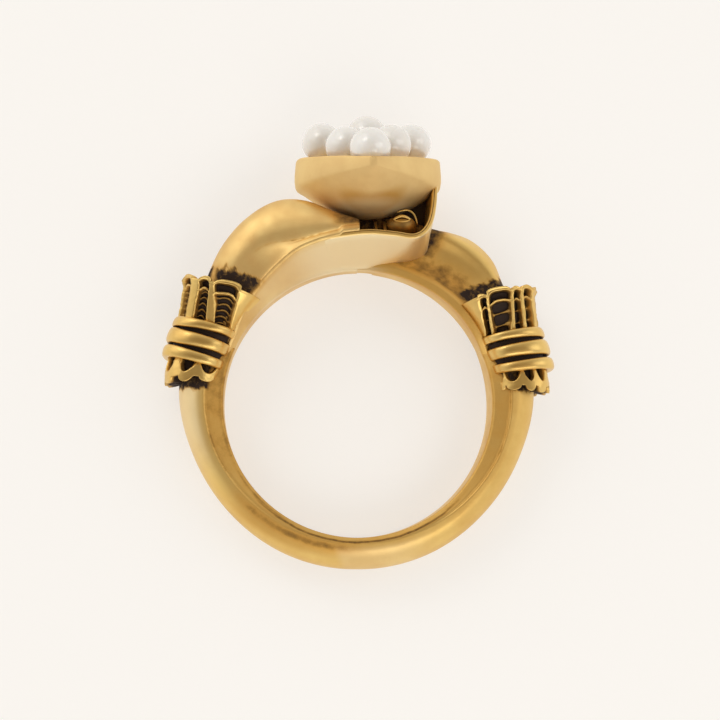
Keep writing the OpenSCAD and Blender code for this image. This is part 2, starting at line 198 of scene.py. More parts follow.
# Scroll over the ribbon: middle of its dome, and half its size in X, Y and Z, in mm
DOME_AT = (2.75, 11.25, 1.0)
DOME_HALF = (1.02, 0.72, 1.25)
# Thin wires on and beside the dome: start, middle and end of each bow, and its radius, in mm
BOWS = {
    "lid": ((2.2, 11.52, 2.08), (2.75, 11.78, 2.05), (3.3, 11.55, 2.0), 0.1),
    "eye": ((2.25, 11.5, 2.1), (2.75, 11.4, 2.2), (3.25, 11.52, 2.05), 0.06),
    "rim": ((2.45, 12.1, 1.6), (3.35, 12.2, 1.5), (3.75, 11.35, 1.6), 0.07),
    "rib": ((1.65, 10.6, 2.4), (1.68, 11.2, 1.55), (1.75, 12.0, 0.2), 0.11),
    "stay": ((1.15, 10.6, 2.4), (1.12, 11.2, 1.55), (1.15, 12.0, 0.2), 0.1),
}
BOW_STEPS = 16

# Pearls: node, X in pitches, row from the widest, lift of the centre over the rim in mm
PEARLS = [
    ("pearl_tip", 0, 2, -0.15),
    ("pearl_left_inner", -0.5, 1, 0.45),
    ("pearl_right_inner", 0.5, 1, 0.6),
    ("pearl_left_outer", -1, 0, 1.2),
    ("pearl_middle", 0, 0, 1.72),
    ("pearl_right_outer", 1, 0, 1.2),
]
# Shift of all the pearls from the middle of the bezel, in mm
PEARLS_SHIFT = -0.1
# Peg: its length below a pearl and inside it, and the hole's depth and play round it, in mm
PEG_BELOW, PEG_INSIDE = 1, 0.8
HOLE_DEPTH, HOLE_PLAY = 0.9, 0.08
# Share by which a pearl is smaller than a true ball: in its waves, and all over
PEARL_WAVE, PEARL_LESS = 0.012, 0.004

# What is painted on the gold pieces for their material: dark oxide and painted shade, worn places
# and painted dark and orange reflections, and paler places of painted reflection
PAINTED = ("patina", "wear", "pale")
# Gold: roughness, height of its grain in mm, strength of its stains and painted shade, and how
# spotted they are
GOLD_FINISHES = {
    "gold_polished": (0.36, 0.04, 1.0, 0.3),
    "gold_satin": (0.56, 0.035, 0.35, 0.3),
    "gold_cast": (0.25, 0.05, 1.2, 0.12),
}

# Lowest places of the ring as it lies on its side, which the floor meets: X, Y and Z in mm
LOW_ARM, LOW_SHANK = (0, 10.3, -3.14), (0, -9.5, -1.72)
# Lights: name, place, aim and size in metres, watts and colour
LIGHTS = [
    ("key", (-0.22, 0.22, 0.17), (0, 0, 0), (0.4, 0.32), 0.22, (1, 0.985, 0.96)),
    ("spark", (-0.135, 0.19, 0.186), (0, 0.01, 0), (0.1, 0.09), 0.055, (1, 0.99, 0.97)),
    ("fill", (0.2, 0.05, 0.18), (0, 0, 0), (0.12, 0.2), 0.07, (0.97, 0.98, 1)),
    ("low", (0.06, -0.16, 0.2), (0, 0, 0), (0.22, 0.13), 0.14, (1, 0.97, 0.93)),
]
# Studio round the ring: height from 0 to 1 and the colour there
STUDIO = [
    (0.1, (1, 0.98, 0.95, 1)),
    (0.7, (0.6, 0.58, 0.55, 1)),
    (0.86, (0.52, 0.48, 0.43, 1)),
    (0.99, (0.24, 0.18, 0.11, 1)),
]
# Camera: its place in mm, the way it looks and its lens in mm
CAMERA_AT = (-4.93, -8.47, 103.76)
CAMERA_WAY = (0.0489, 0.1080, -0.9930)
CAMERA_LENS = 81.6


class RingSizes(bpy.types.PropertyGroup):
    """Sizes of the ring that a user may change."""

    bore_radius: FloatProperty(
        name="Finger hole radius", description="Radius of the finger hole",
        default=8.5 * MM, unit="LENGTH")
    cuff_turn_left: FloatProperty(
        name="Left cuff turn", description="Turn of the left cuff's middle wire from the top",
        default=math.radians(69.5), subtype="ANGLE")
    cuff_turn_right: FloatProperty(
        name="Right cuff turn", description="Turn of the right cuff's middle wire from the top",
        default=math.radians(72), subtype="ANGLE")
    flute_depth: FloatProperty(
        name="Flute depth", description="Depth of a flute under its ridges",
        default=0.42 * MM, unit="LENGTH")
    wire_height: FloatProperty(
        name="Wire height", description="Height of the binding wires over the cuff",
        default=0.34 * MM, unit="LENGTH")
    ribbon_thickness: FloatProperty(
        name="Ribbon thickness", description="Thickness of the curled ribbon",
        default=0.36 * MM, unit="LENGTH")
    bezel_middle: FloatProperty(
        name="Bezel middle", description="Middle of the bezel across the ring",
        default=0.7 * MM, unit="LENGTH")
    rim_height: FloatProperty(
        name="Rim height", description="Distance of the bezel's rim from the hole's axis",
        default=15.75 * MM, unit="LENGTH")
    rim_width: FloatProperty(
        name="Rim width", description="Width of the rim round the pearls",
        default=0.45 * MM, unit="LENGTH")
    pearl_diameter: FloatProperty(
        name="Pearl diameter", description="Diameter of a pearl",
        default=2.6 * MM, unit="LENGTH")
    pearl_pitch: FloatProperty(
        name="Pearl pitch", description="Distance between pearls in a row",
        default=2.9 * MM, unit="LENGTH")
    row_pitch: FloatProperty(
        name="Row pitch", description="Distance between the rows of pearls",
        default=2.2 * MM, unit="LENGTH")
    peg_diameter: FloatProperty(
        name="Peg diameter", description="Diameter of the peg in each pearl",
        default=0.7 * MM, unit="LENGTH")


class RingColours(bpy.types.PropertyGroup):
    """Colours of the ring and of the surface under it."""

    gold: FloatVectorProperty(
        name="Gold", description="Polished yellow gold", subtype="COLOR", size=4,
        default=(0.84, 0.585, 0.2, 1), min=0, max=1)
    # Deep gold is also painted as dark and orange reflections, and mixed in beside painted shade
    gold_deep: FloatVectorProperty(
        name="Deep gold", description="Warmer gold in hollows and worn places",
        subtype="COLOR", size=4, default=(0.62, 0.33, 0.07, 1), min=0, max=1)
    # Patina is also the colour of painted shade, in recesses and under the bezel
    patina: FloatVectorProperty(
        name="Patina", description="Dark oxide in the recesses", subtype="COLOR", size=4,
        default=(0.03, 0.014, 0.008, 1), min=0, max=1)
    # Pale gold is painted reflection of the pale floor and the lamps, on the side towards the
    # finger and elsewhere
    reflection_gold: FloatVectorProperty(
        name="Pale gold", description="Brushed gold on the side towards the finger",
        subtype="COLOR", size=4, default=(0.95, 0.83, 0.57, 1), min=0, max=1)
    nacre: FloatVectorProperty(
        name="Nacre", description="White of the pearls", subtype="COLOR", size=4,
        default=(0.9, 0.88, 0.845, 1), min=0, max=1)
    floor: FloatVectorProperty(
        name="Floor", description="Pale surface under the ring", subtype="COLOR", size=4,
        default=(0.45, 0.44, 0.425, 1), min=0, max=1)


def sizes():
    """The ring's sizes, in metres and radians."""
    return bpy.context.scene.ring_sizes


def colours():
    """The ring's colours."""
    return bpy.context.scene.ring_colours


def row_at(rows, x):
    """The row at x on a smooth curve through the given rows."""
    last = len(rows) - 1
    i = 0
    while i < last - 1 and x >= rows[i + 1][0]:
        i += 1
    a, b = rows[i], rows[i + 1]
    h = b[0] - a[0]
    t = (x - a[0]) / h

    def slope(k, column):
        lo, hi = rows[max(k - 1, 0)], rows[min(k + 1, last)]
        return (hi[column] - lo[column]) / (hi[0] - lo[0])

    return [
        (2 * t ** 3 - 3 * t ** 2 + 1) * a[c]
        + (t ** 3 - 2 * t ** 2 + t) * h * slope(i, c)
        + (3 * t ** 2 - 2 * t ** 3) * b[c]
        + (t ** 3 - t ** 2) * h * slope(i + 1, c)
        for c in range(len(a))
    ]


def ramp(x, low, high):
    """0 below low, 1 above high and a smooth rise between them."""
    t = min(max((x - low) / (high - low), 0), 1)
    return t * t * (3 - 2 * t)


def round_hole(co):
    """Degrees from +X about the finger hole and radius in mm of a point in metres."""
    return math.degrees(math.atan2(co.y, co.x)), math.hypot(co.x, co.y) / MM


def ragged(co):
    """Degrees by which the edge of a stain wanders at a point."""
    return 2.5 * noise.noise(co / MM * 2.2) + 1.5 * noise.noise(co / MM * 5)


def polar(r, degrees, z):
    """A point in metres from a radius and a height in mm."""
    turn = math.radians(degrees)
    return Vector((r * math.cos(turn), r * math.sin(turn), z)) * MM


def signed_power(value, power):
    """A power of the value's size, with its sign kept."""
    return math.copysign(abs(value) ** power, value)


def smooth_loop(corners, fine):
    """Points round a closed outline. corners are (x, y, sharp); a sharp one stays a corner."""
    count = len(corners)
    places = [Vector(c[:2]) for c in corners]

    def heading(i, towards):
        if corners[i][2]:
            way = places[(i + 1) % count] - places[i] if towards else places[i] - places[i - 1]
        else:
            way = places[(i + 1) % count] - places[i - 1]
        return way.normalized()

    outline = []
    for i in range(count):
        a, b = places[i], places[(i + 1) % count]
        chord = (b - a).length
        start, end = heading(i, True) * chord, heading((i + 1) % count, False) * chord
        for k in range(fine):
            t = k / fine
            outline.append(
                (2 * t ** 3 - 3 * t ** 2 + 1) * a + (t ** 3 - 2 * t ** 2 + t) * start
                + (3 * t ** 2 - 2 * t ** 3) * b + (t ** 3 - t ** 2) * end)
    return outline


def deselect_all():
    """Leaves edit mode with nothing selected."""
    if bpy.context.mode != "OBJECT":
        bpy.ops.object.mode_set(mode="OBJECT")
    bpy.ops.object.select_all(action="DESELECT")


def pick(piece):
    """Makes a piece the only one selected."""
    deselect_all()
    piece.select_set(True)
    bpy.context.view_layer.objects.active = piece


def edit_all():
    """Opens the active piece in edit mode, all of it selected."""
    bpy.ops.object.mode_set(mode="EDIT")
    bpy.ops.mesh.select_all(action="SELECT")


def face_out():
    """Turns the selected faces outward and leaves edit mode."""
    bpy.ops.mesh.normals_make_consistent(inside=False)
    bpy.ops.object.mode_set(mode="OBJECT")


def wrap_grid(name, rings, layers=None):
    """A grid wrapped round a form: one row of the grid to a ring, its seam and ends closed.

    layers holds lists like rings, of values between 0 and 1 for the material to read."""
    deselect_all()
    around, along = len(rings[0]), len(rings)
    bpy.ops.mesh.primitive_grid_add(x_subdivisions=around, y_subdivisions=along - 1, size=2)
    piece = bpy.context.active_object
    piece.name = name
    layers = layers or {}
    for layer in PAINTED:
        piece.data.attributes.new(layer, "FLOAT", "POINT")
    for vertex in piece.data.vertices:
        i = round((vertex.co.x + 1) / 2 * around) % around
        j = round((vertex.co.y + 1) / 2 * (along - 1))
        vertex.co = rings[j][i]
        for layer, values in layers.items():
            piece.data.attributes[layer].data[vertex.index].value = values[j][i]
    edit_all()
    bpy.ops.mesh.remove_doubles(threshold=1e-7)
    for ring in (rings[0], rings[-1]):
        mesh = bmesh.from_edit_mesh(piece.data)
        bpy.ops.mesh.select_all(action="DESELECT")
        middle = sum(ring, Vector()) / around
        reach = max((p - middle).length for p in ring) * 1.01 + 1e-6
        for edge in mesh.edges:
            if edge.is_boundary and all((v.co - middle).length < reach for v in edge.verts):
                edge.select = True
        mesh.select_flush_mode()
        bmesh.update_edit_mesh(piece.data)
        bpy.ops.mesh.edge_face_add()
        bpy.ops.mesh.poke()
    bpy.ops.mesh.select_all(action="SELECT")
    face_out()
    bpy.ops.object.shade_smooth()
    return piece


def paint(piece, layer, amount):
    """A value between 0 and 1 for each point of the piece, for its material to read."""
    found = piece.data.attributes.get(layer)
    data = (found or piece.data.attributes.new(layer, "FLOAT", "POINT")).data
    for vertex, value in zip(piece.data.vertices, data, strict=True):
        value.value = min(max(amount(vertex.co), 0), 1)


def apply_all(piece):
    """Applies a piece's modifiers and its place."""
    pick(piece)
    for modifier in list(piece.modifiers):
        bpy.ops.object.modifier_apply(modifier=modifier.name)
    bpy.ops.object.transform_apply(location=True, rotation=True, scale=True)


def join(pieces, name):
    """One piece made of several."""
    deselect_all()
    for piece in pieces:
        piece.select_set(True)
    bpy.context.view_layer.objects.active = pieces[0]
    bpy.ops.object.join()
    joined = bpy.context.active_object
    joined.name = name
    return joined


def mirrored(piece):
    """Turns a piece into its mirror image left to right, with its faces outward."""
    pick(piece)
    edit_all()
    bpy.ops.transform.resize(value=(-1, 1, 1), center_override=(0, 0, 0))
    face_out()


def finish_piece(piece, material, slot, *nodes):
    """Gives a piece its material and body, and hides the nodes that it replaces. slot is not
    used.
    """
    piece.data.materials.clear()
    piece.data.materials.append(material)
    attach(piece, "root")
    if nodes:
        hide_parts(*nodes)


def new_material(name):
    """A material with its Principled shader, and a helper that adds linked nodes to it."""
    material = bpy.data.materials.new(name)
    material.use_nodes = True
    tree = material.node_tree
    shader = tree.nodes["Principled BSDF"]

    def add(kind, settings=None, **sockets):
        node = tree.nodes.new(kind)
        for key, value in (settings or {}).items():
            setattr(node, key, value)
        for key, value in sockets.items():
            socket = node.inputs[int(key[1:])] if key[0] == "i" and key[1:].isdigit() else (
                node.inputs[key.replace("_", " ")])
            if isinstance(value, bpy.types.NodeSocket):
                tree.links.new(value, socket)
            else:
                socket.default_value = value
        return node

    def link(source, socket):
        tree.links.new(source, shader.inputs[socket])

    return material, shader, add, link


def maths(add, operation, *values, clamp=False):
    """The result of a sum on values and sockets."""
    sockets = {f"i{k}": value for k, value in enumerate(values)}
    return add("ShaderNodeMath", {"operation": operation, "use_clamp": clamp},
               **sockets).outputs[0]


def remap(add, value, low, high, start=0.0, end=1.0):
    """A value that goes from start to end while the one given goes from low to high."""
    return add("ShaderNodeMapRange", Value=value, From_Min=low, From_Max=high, To_Min=start,
               To_Max=end).outputs[0]


def painted(add, layer):
    """The value that paint gave a piece in one of its layers."""
    return add("ShaderNodeAttribute", {"attribute_name": layer}).outputs["Fac"]


def clouds(add, place, scale, detail, roughness=0.5):
    """Soft noise between 0 and 1 on a piece's own coordinates."""
    return add("ShaderNodeTexNoise", Vector=place, Scale=scale, Detail=detail,
               Roughness=roughness).outputs["Fac"]


def bumped(add, link, strength, distance, height):
    """Gives a material's surface a relief."""
    bump = add("ShaderNodeBump", Strength=strength, Distance=distance, Height=height)
    link(bump.outputs[0], "Normal")


def mixed(add, share, first, second):
    """A colour between the first and the second."""
    node = add("ShaderNodeMix", {"data_type": "RGBA"})
    tree = node.id_data
    for index, value in ((0, share), (6, first), (7, second)):
        if isinstance(value, bpy.types.NodeSocket):
            tree.links.new(value, node.inputs[index])
        else:
            node.inputs[index].default_value = value
    return node.outputs[2]


def gold_material(name, polish, grain, stain, blotch):
    """Yellow gold: colour that varies softly, fine scratches, worn places and painted
    reflections, dark oxide, and painted shade in recesses.
    """
    material, _, add, link = new_material(name)
    place = add("ShaderNodeTexCoord").outputs["Object"]
    cloud = clouds(add, place, 330.0, 4.0, 0.6)
    speck = clouds(add, place, 2600.0, 3.0, 0.7)
    along = add("ShaderNodeMapping", Vector=place, Scale=(1.0, 1.0, 0.16)).outputs[0]
    scratch = clouds(add, along, 9000.0, 2.0, 0.8)
    patina, wear, pale = (painted(add, layer) for layer in PAINTED)
    # Painted shade: the gold darkens where nearby surfaces hide it, in recesses and between
    # parts, on top of the painted oxide
    hollow = add("ShaderNodeAmbientOcclusion", {"samples": 8}, Distance=0.45 * MM)
    occlusion_shade = add("ShaderNodeMapRange", {"interpolation_type": "SMOOTHSTEP"},
               Value=hollow.outputs["AO"], From_Min=0.62, From_Max=0.18).outputs[0]
    uneven = remap(add, speck, 0.3, 0.7, 1 - blotch, 1.15)
    oxide_and_shade = maths(add, "MULTIPLY", maths(add, "MAXIMUM", patina, occlusion_shade), uneven)
    oxide_and_shade = maths(add, "MULTIPLY", oxide_and_shade, stain, clamp=True)
    tone = remap(add, cloud, 0.35, 0.7)
    hues = colours()
    light, deep, oxide_and_shade_colour, painted_reflection = (
        tuple(c) for c in (hues.gold, hues.gold_deep, hues.patina, hues.reflection_gold))
    base = mixed(add, maths(add, "MULTIPLY", tone, 0.45), light, deep)
    base = mixed(add, maths(add, "MULTIPLY", wear, 0.6), base, deep)
    base = mixed(add, pale, base, painted_reflection)
    base = mixed(add, maths(add, "MULTIPLY", remap(add, oxide_and_shade, 0.0, 0.45), 0.75), base, deep)
    link(mixed(add, remap(add, oxide_and_shade, 0.25, 0.9), base, oxide_and_shade_colour), "Base Color")
    link(remap(add, oxide_and_shade, 0.3, 1.0, 1.0, 0.35), "Metallic")
    rough = maths(add, "MULTIPLY_ADD", cloud, 0.16, polish)
    rough = maths(add, "ADD", rough, maths(add, "MULTIPLY", wear, 0.06))
    link(maths(add, "ADD", rough, maths(add, "MULTIPLY", oxide_and_shade, 0.3), clamp=True), "Roughness")
    height = maths(add, "ADD", maths(add, "MULTIPLY", cloud, 0.35),
                   maths(add, "MULTIPLY", speck, 0.1))
    marks = maths(add, "MULTIPLY", scratch, maths(add, "MULTIPLY_ADD", wear, 0.22, 0.035))
    bumped(add, link, 1.0, grain * MM, maths(add, "ADD", height, marks))
    return material


def nacre_material(name):
    """Pearl: white nacre with a soft inner light, faint clouds and a thin gloss."""
    material, shader, add, link = new_material(name)
    place = add("ShaderNodeTexCoord").outputs["Object"]
    cloud = clouds(add, place, 420.0, 3.0)
    white = tuple(colours().nacre)
    link(mixed(add, remap(add, cloud, 0.35, 0.65), white,
               (white[0] * 0.97, white[1] * 0.95, white[2] * 0.92, 1)), "Base Color")
    link(remap(add, cloud, 0.0, 1.0, 0.2, 0.34), "Roughness")
    for socket, value in (("Subsurface Weight", 0.1), ("Subsurface Radius", (1.0, 0.8, 0.6)),
                          ("Subsurface Scale", 0.5 * MM), ("Coat Weight", 1.0),
                          ("Coat Roughness", 0.17), ("Coat IOR", 1.9)):
        shader.inputs[socket].default_value = value
    bumped(add, link, 1.0, 0.006 * MM, clouds(add, place, 2400.0, 2.0))
    return material


def material_named(name):
    """The ring's materials, each made once."""
    found = bpy.data.materials.get(name)
    if found:
        return found
    if name == "nacre":
        return nacre_material(name)
    return gold_material(name, *GOLD_FINISHES[name])


def shank_outline(row, near_groove):
    """Section of the shank as (radius, height) corners."""
    outer, mid, half = row[1], row[2], row[3]
    bore = sizes().bore_radius / MM
    drop = half - BEVEL_FALL * (mid - bore) / (mid - bore + BEVEL_FALL)
    corners = [(bore, -drop, True)]
    for k in range(-4, 5):
        turn = math.radians(22.5 * k)
        corners.append((mid + (outer - mid) * math.cos(turn), half * math.sin(turn), k == -4))
    last = corners.pop()
    # A fine groove parts the round face from the bevel
    corners += [
        (last[0] + 0.08, last[1] - 0.02, True),
        (last[0], last[1] - 0.03 - near_groove, False),
        (last[0] - 0.1, last[1] - 0.05, True),
        (bore, drop, True),
    ]
    return smooth_loop(corners, 6)


class RING_OT_shank(bpy.types.Operator):
    """Build the shank, rounded outside, with a bevel beside the finger hole"""

    bl_idname = "ring.shank"
    bl_label = "Shank"

    def execute(self, context):
        rings = []
        for k in range(-SHANK_STEPS, SHANK_STEPS + 1):
            turn = SHANK_REACH * k / SHANK_STEPS
            row = row_at(SHANK_ROWS, abs(turn))
            groove = GROOVE_DEPTH * ramp(abs(turn), 22, 55)
            rings.append([polar(p.x, turn - 90, p.y) for p in shank_outline(row, groove)])
        piece = wrap_grid("shank", rings)

        def on_shank(co):
            """Degrees from the lowest point, counted to the right, radius in mm, and the row."""
            way = math.degrees(math.atan2(co.x, -co.y))
            row = row_at(SHANK_ROWS, min(abs(way), SHANK_REACH))
            return way, math.hypot(co.x, co.y) / MM, row

        def front_bevel(co):
            """The bevel at the front."""
            _, r, row = on_shank(co)
            return ramp(co.z / MM, row[3] - 0.5, row[3] - 0.3) * ramp(row[2] - r, -0.02, 0.08)

        def darkened(co):
            """Oxide on the bevel and its edges and under the cuffs, and a painted dark reflection
            on the left of the band, beside the bevel.
            """
            way, r, row = on_shank(co)
            turn = abs(way)
            line = ramp(0.16 - abs(r - row[2]), 0, 0.15) * ramp(turn, 40, 70)
            line *= 0.3 + 0.3 * noise.noise(co / MM * 0.9)
            cloud = noise.noise(co / MM * 1.6)
            root = ramp(turn + 0.6 * ragged(co), 93.6, 95.2) * ramp(r, 9.2, 9.6)
            bevel = ramp(row[2] - r, 0.02, 0.12) * ramp(turn, 20, 92)
            bevel *= (0.3 if co.x < 0 else 0.1) + 0.2 * cloud
            rim = ramp(0.1 - abs(r - 8.78 - 0.03 * cloud), 0, 0.07) * ramp(60 - turn, 0, 30)
            # Painted dark reflection in a band on the round face beside the bevel, on the left
            band = ramp(way, -60, -40) * ramp(co.x / MM, 1, -1.5)
            band *= ramp(0.4 - abs(r - row[2] - 0.4), 0, 0.4) * (0.5 + 0.2 * cloud)
            inner = ramp(8.95 - r, 0, 0.3) * ramp(r, 8.55, 8.65) * ramp(turn, 15, 40)
            inner *= (0.45 + 0.2 * cloud) * ramp(co.x / MM, 2, -2)
            return max(line, root, bevel, rim * 0.7, band, inner) * ramp(co.z / MM, -0.4, 0.2)

        def way_across(co):
            """Degrees from the lowest point, and the share of the way over the round face."""
            way, r, row = on_shank(co)
            return way, (r - row[2]) / (row[1] - row[2])

        def deep(co):
            """Painted dark reflection: deeper gold on the round face beside the bevel, and on the
            bevel.
            """
            way, across = way_across(co)
            left = ramp(way, -66, -40) * ramp(6 - way, 0, 14)
            left *= ramp(0.82 - across - 0.006 * (way + 30), 0, 0.3) * ramp(across, -0.2, 0.1)
            right = ramp(way, 22, 44) * ramp(88 - way, 0, 20) * ramp(0.45 - across, 0, 0.3)
            return max(left, 0.4 * right, 0.7 * front_bevel(co)) * ramp(co.z / MM, 0, 0.5)

        def painted_reflection(co):
            """Painted reflection: paler gold on the round face, at the bottom and up the left."""
            way, across = way_across(co)
            patch = ramp(way - 5 * across, -12, -8) * ramp(34 - way, 0, 22)
            patch *= ramp(across, 0.1, 0.3)
            left = ramp(-way, 58, 84) * ramp(across, 0.05, 0.5)
            return max(0.2 * patch, 0.5 * left) * ramp(co.z / MM, 0, 0.5)

        paint(piece, "wear", deep)
        paint(piece, "pale", painted_reflection)
        paint(piece, "patina", darkened)
        finish_piece(piece, material_named("gold_polished"), "gold", "ring_body")
        return {"FINISHED"}


def oval_point(row, around, dip, middle, turn):
    """A point round a cuff at a turn from its middle wire, dip mm under its surface."""
    half = (row[1] - CUFF_INNER) / 2
    cu = signed_power(math.cos(around), 2 / OVAL_POWER)
    su = signed_power(math.sin(around), 2 / OVAL_POWER)
    r = CUFF_INNER + half + (half - dip) * cu
    z = (row[2] - dip) * su
    return polar(r, 90 + middle + turn + row[3] * (r - LEAN_R), z)


def skewed(degrees, turn):
    """Place round a cuff that a flute has reached at a turn from the middle wire."""
    up = min(max((-turn - SKEW_START) / SKEW_SPAN, 0), 1)
    near = (min(abs(degrees), FLUTE_SKEW_LAST) / FLUTE_SKEW_AT) ** 2
    fading = min((180 - abs(degrees)) / (180 - FLUTE_SKEW_LAST), 1)
    return degrees - math.copysign(FLUTE_SKEW * near * up * fading, degrees)


def rung(place, pitch, sharpness):
    """1 on the thin ribs that cross a flute and 0 between them."""
    return (0.5 + 0.5 * math.cos(2 * math.pi * place / pitch)) ** sharpness


def crown_relief(across, wide, up, edge, top, blocky):
    """Depth and stain at a place on the crown: across a flute and up it, in mm."""
    share = min(abs(across) / wide, 1)
    inside = ramp(wide - abs(across), 0, 0.13) * ramp(edge - 0.28 - up, 0, 0.14)
    if blocky:
        cell = (up - top + 1.02) / 0.84
        spot = 2 * (cell - math.floor(cell)) - 1
        ribs = ramp((abs(spot) ** 3 + share ** 3) ** (1 / 3), 0.78, 1.0)
        arch, thick = up - (top - 1.0) + 0.25 * share ** 2, 0.14
    else:
        ribs = rung(up + 0.3 * share ** 2, 0.43, 2.2)
        arch, thick = up - (top - 0.95) + 0.3 * share ** 2, 0.15
    ribs *= ramp(top - 1.05 - 0.3 * share ** 2 - up, 0, 0.1) * ramp(share, 1.05, 0.8)
    band = ramp(thick - abs(arch), 0, 0.08)
    depth = inside * (1.35 - 0.5 * ribs - 1.05 * band)
    stain = inside * (1 - 0.66 * ribs) * (1 - 0.9 * band)
    if up > edge - 0.12:
        depth -= 0.12
    return depth, stain


def ruffle_relief(across, wide, down):
    """The same on the lower ruffle, with down measured from the middle wire."""
    reach = math.hypot(across / (wide * 1.05), max(0, down - 1.5) / 0.85)
    inside = ramp(1 - reach, 0, 0.28)
    return inside * 1.2, inside


def oval_steps(flutes):
    """Places round a cuff as (degrees, middle of the nearest flute, half its width)."""
    whole = [(-c, h) for c, h in reversed(flutes) if c > 0] + list(flutes)
    steps = []
    for k, (c, h) in enumerate(whole):
        steps += [(c - h + 2 * h * i / FLUTE_STEPS, c, h) for i in range(FLUTE_STEPS + 1)]
        if k < len(whole) - 1:
            following = whole[k + 1]
            gap = following[0] - following[1] - c - h
            steps += [(c + h + gap * i / GAP_STEPS,
                       *((c, h) if 2 * i < GAP_STEPS else following))
                      for i in range(1, GAP_STEPS)]
    last, half = whole[-1]
    span = 360 - 2 * (last + half)
    steps += [(last + half + span * i / PLAIN_STEPS, last if 2 * i < PLAIN_STEPS else -last, half)
              for i in range(1, PLAIN_STEPS)]
    return [(u if u <= 180 else u - 360, c, h) for u, c, h in steps]


def cuff_rings(middle, seed, flutes, blocky):
    """The cuff's rings of points, with the stain at each."""
    depth = sizes().flute_depth / MM
    steps = oval_steps(flutes)
    # A flute's width is taken half way up the crown and half way down the ruffle
    crown_row, ruffle_row = row_at(CUFF_ROWS, -14), row_at(CUFF_ROWS, 9)

    def half_width(row, c, h):
        low, high = (oval_point(row, math.radians(c + k * h), 0, 0, 0) for k in (-1, 1))
        return (high - low).length / 2 / MM

    widths = {(c, h): (half_width(crown_row, c, h), half_width(ruffle_row, c, h))
              for _, c, h in steps}
    plan = [("hem_in", k / HEM_STEPS) for k in range(HEM_STEPS)]
    plan += [("crown", k / CROWN_STEPS) for k in range(CROWN_STEPS + 1)]
    plan += [("bound", k / BOUND_STEPS) for k in range(1, BOUND_STEPS)]
    plan += [("ruffle", k / RUFFLE_STEPS) for k in range(RUFFLE_STEPS + 1)]
    plan += [("hem_out", k / HEM_STEPS) for k in range(1, HEM_STEPS + 1)]
    rings, stains = [], []
    for zone, v in plan:
        ring, stain = [], []
        for degrees, c, h in steps:
            share = (degrees - c) / h
            plain = ramp(math.cos(math.radians(degrees)), -0.92, -0.78)
            crown_wide, ruffle_wide = widths[(c, h)]
            wobble = noise.noise(Vector((c * 0.37 + seed, 3.1, 0.4)))
            lobe = math.sqrt(max(0, 1 - share * share)) * plain
            swell = 0.6 * min(crown_wide, 0.9)
            crown_edge = CROWN_TOP + swell * lobe + 0.12 * wobble * plain
            top = CROWN_TOP + swell + 0.12 * wobble
            ruffle_edge = RUFFLE_TOP + 0.4 * lobe + 0.1 * wobble * plain
            if zone == "crown":
                up = crown_edge - (crown_edge + BOUND_FROM * DEG_MM) * v
                turn = -up / DEG_MM
                dip, mark = crown_relief(share * crown_wide, crown_wide, up, crown_edge, top,
                                         blocky)
                dip *= min(depth, 0.3 + 0.3 * crown_wide) * plain
                mark *= plain
            elif zone == "hem_in":
                turn = -(crown_edge - 0.5 * (1 - v) ** 1.5) / DEG_MM
                dip, mark = 0.75 * (1 - v) ** 0.7, 1 - v
            elif zone == "bound":
                turn = BOUND_FROM + (BOUND_TO - BOUND_FROM) * v
                dip, mark = 0.12, plain
            elif zone == "ruffle":
                down = BOUND_TO * DEG_MM
                down += (ruffle_edge - down) * v
                turn = down / DEG_MM
                dip, mark = ruffle_relief(share * ruffle_wide, ruffle_wide, down)
                dip, mark = dip * depth * plain, mark * plain
            else:
                turn = (ruffle_edge - 0.1 * v) / DEG_MM
                dip, mark = 1.1 * v ** 0.8, min(1, 0.5 + v)
            row = row_at(CUFF_ROWS, turn)
            place = oval_point(row, math.radians(skewed(degrees, turn)), dip, middle, turn)
            rough = noise.noise(place / MM * 1.3 + Vector((seed, 0, 0)))
            fine = noise.noise(place / MM * 4.5 + Vector((0, seed, 0)))
            out = Vector((place.x, place.y, 0)).normalized()
            place += out * (0.05 * rough + 0.03 * fine) * plain * MM
            ring.append(place)
            stain.append(mark)
        rings.append(ring)
        stains.append(stain)
    return rings, stains


def build_cuff(name, middle, seed, flutes, blocky):
    """A shoulder cuff, its middle wire at a turn from the top."""
    rings, stains = cuff_rings(middle, seed, flutes, blocky)
    return wrap_grid(name, rings, {"patina": stains})


def build_wires(name, middle, seed, side):
    """Three binding wires, each a torus shaped onto the cuff's oval."""
    wires = []
    for turn, half_width, *leans in WIRES:
        lean = leans[side]
        deselect_all()
        bpy.ops.mesh.primitive_torus_add(
            major_segments=180, minor_segments=16, major_radius=WIRE_RING * MM,
            minor_radius=0.5 * MM)
        wire = bpy.context.active_object
        for vertex in wire.data.vertices:
            co = vertex.co / MM
            u = math.atan2(co.y, co.x)
            section = math.atan2(co.z, math.hypot(co.x, co.y) - WIRE_RING)
            hand = 1 + 0.12 * noise.noise(Vector((math.cos(u) * 1.6, math.sin(u) * 1.6,
                                                  seed + turn)))
            swell = (sizes().wire_height / MM * signed_power(math.cos(section), 0.5) * hand
                     - 0.02)
            half = (WIRE_R - CUFF_INNER) / 2
            rise = swell * (1 + math.cos(u)) / 2 if swell > 0 else swell
            r = CUFF_INNER + half + (half + rise) * signed_power(math.cos(u), 2 / OVAL_POWER)
            z = (WIRE_Z + swell) * signed_power(math.sin(u), 2 / OVAL_POWER)
            sway = 0.35 * noise.noise(Vector((math.cos(u), math.sin(u), seed * 2 + turn)))
            across = signed_power(math.sin(section), 0.8) * half_width * (0.92 + 0.1 * hand)
            across += sway
            vertex.co = polar(r, 90 + middle + turn + across + lean * (r - LEAN_R), z)
        wires.append(wire)
    piece = join(wires, name)
    edit_all()
    face_out()
    bpy.ops.object.shade_smooth()
    return piece


